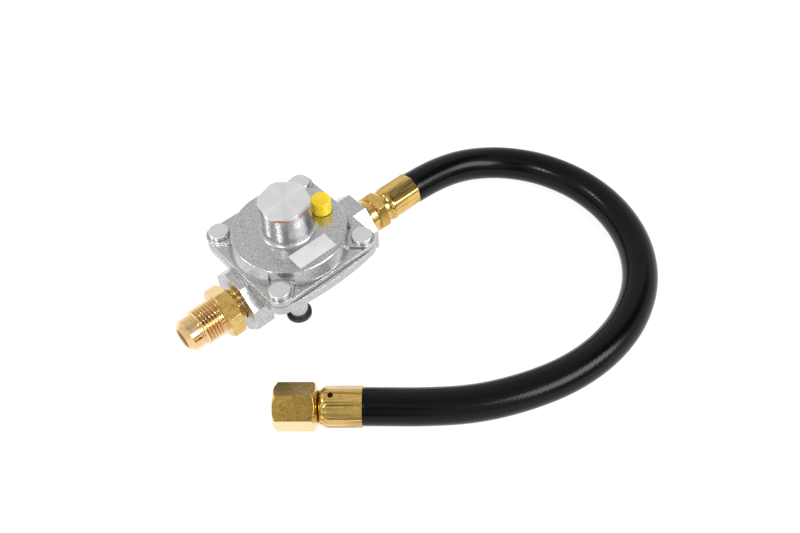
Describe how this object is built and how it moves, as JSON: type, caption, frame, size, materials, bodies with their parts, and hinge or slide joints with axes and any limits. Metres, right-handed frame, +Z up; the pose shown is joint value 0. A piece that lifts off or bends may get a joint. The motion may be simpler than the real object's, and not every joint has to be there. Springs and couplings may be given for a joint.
{
  "type": "propane regulator hose",
  "caption": "Low-pressure gas regulator with a male flare inlet and a short rubber hose that ends in a swivel flare nut.",
  "frame": {"origin": "on the spring tower's axis, in the flat underside of the body that the regulator stands on", "axes": "+X along the gas line from the inlet to the hose, +Z up along the spring tower"},
  "size_m": [0.2261, 0.1766, 0.0619],
  "materials": {
    "cast_aluminium": "as-cast, fine speckle, bright worn edges",
    "turned_aluminium": "finely turned, satin",
    "screw_steel": "zinc plated, satin",
    "brass_polished": "bright turned",
    "brass_satin": "mottled satin",
    "hose_rubber": "satin black with a faint cloth print",
    "pad_rubber": "matt black",
    "diaphragm_rubber": "matt black",
    "yellow_vinyl": "soft glossy vinyl",
    "gasket_fibre": "red fibre board",
    "pin_plastic": "moulded acetal",
    "spring_steel": "plain wire",
    "plate_foil": "bare satin foil"
  },
  "bodies": {
    "regulator": {"lower_body": "cast_aluminium", "upper_cover": "cast_aluminium", "diaphragm": "diaphragm_rubber", "main_spring": "spring_steel", "cover_screws": "screw_steel", "rating_plate": "plate_foil", "foot_pad": "pad_rubber", "inlet_fitting": "brass_polished", "outlet_stem": "brass_satin", "near_ferrule": "brass_satin", "hose": "hose_rubber", "far_ferrule": "brass_satin", "far_stem": "brass_satin"},
    "valve_train": {"lower_diaphragm_plate": "spring_steel", "upper_diaphragm_plate": "spring_steel", "stem_nut": "brass_satin", "valve_stem": "spring_steel", "disc_holder": "brass_satin", "valve_disc": "diaphragm_rubber"},
    "cap_carrier": {"cap_gasket": "gasket_fibre"},
    "closure_cap": {"top_cap": "turned_aluminium", "reversible_pin": "pin_plastic"},
    "dust_cap": {"vent_cap": "yellow_vinyl"},
    "nut": {"swivel_nut": "brass_satin"}
  },
  "joints": [
    {"name": "valve_lift", "type": "slide", "parent": "regulator", "child": "valve_train", "axis": [0, 0, 1], "range_m": [0, 0.00145], "stiffness_N_per_m": 2100, "springref_m": -0.0016, "deforming": ["main_spring", "diaphragm"]},
    {"name": "cap_lift", "type": "slide", "parent": "regulator", "child": "cap_carrier", "axis": [0, 0, 1], "range_m": [0, 0.00625]},
    {"name": "cap_turn", "type": "hinge", "parent": "cap_carrier", "child": "closure_cap", "pos_m": [0, 0, 0.0596], "axis": [0, 0, 1], "range_deg": [0, 1800]},
    {"name": "dust_cap_pull", "type": "slide", "parent": "regulator", "child": "dust_cap", "axis": [0, 0, 1], "range_m": [0, 0.01]},
    {"name": "nut_swivel", "type": "hinge", "parent": "regulator", "child": "nut", "pos_m": [-0.0563, -0.0554, 0.01105], "axis": [0.7369, -0.676, 0], "continuous": true}
  ],
  "couplings": [
    {"joint": "cap_lift", "follows": "cap_turn", "m_per_rad": 0.00019894}
  ]
}
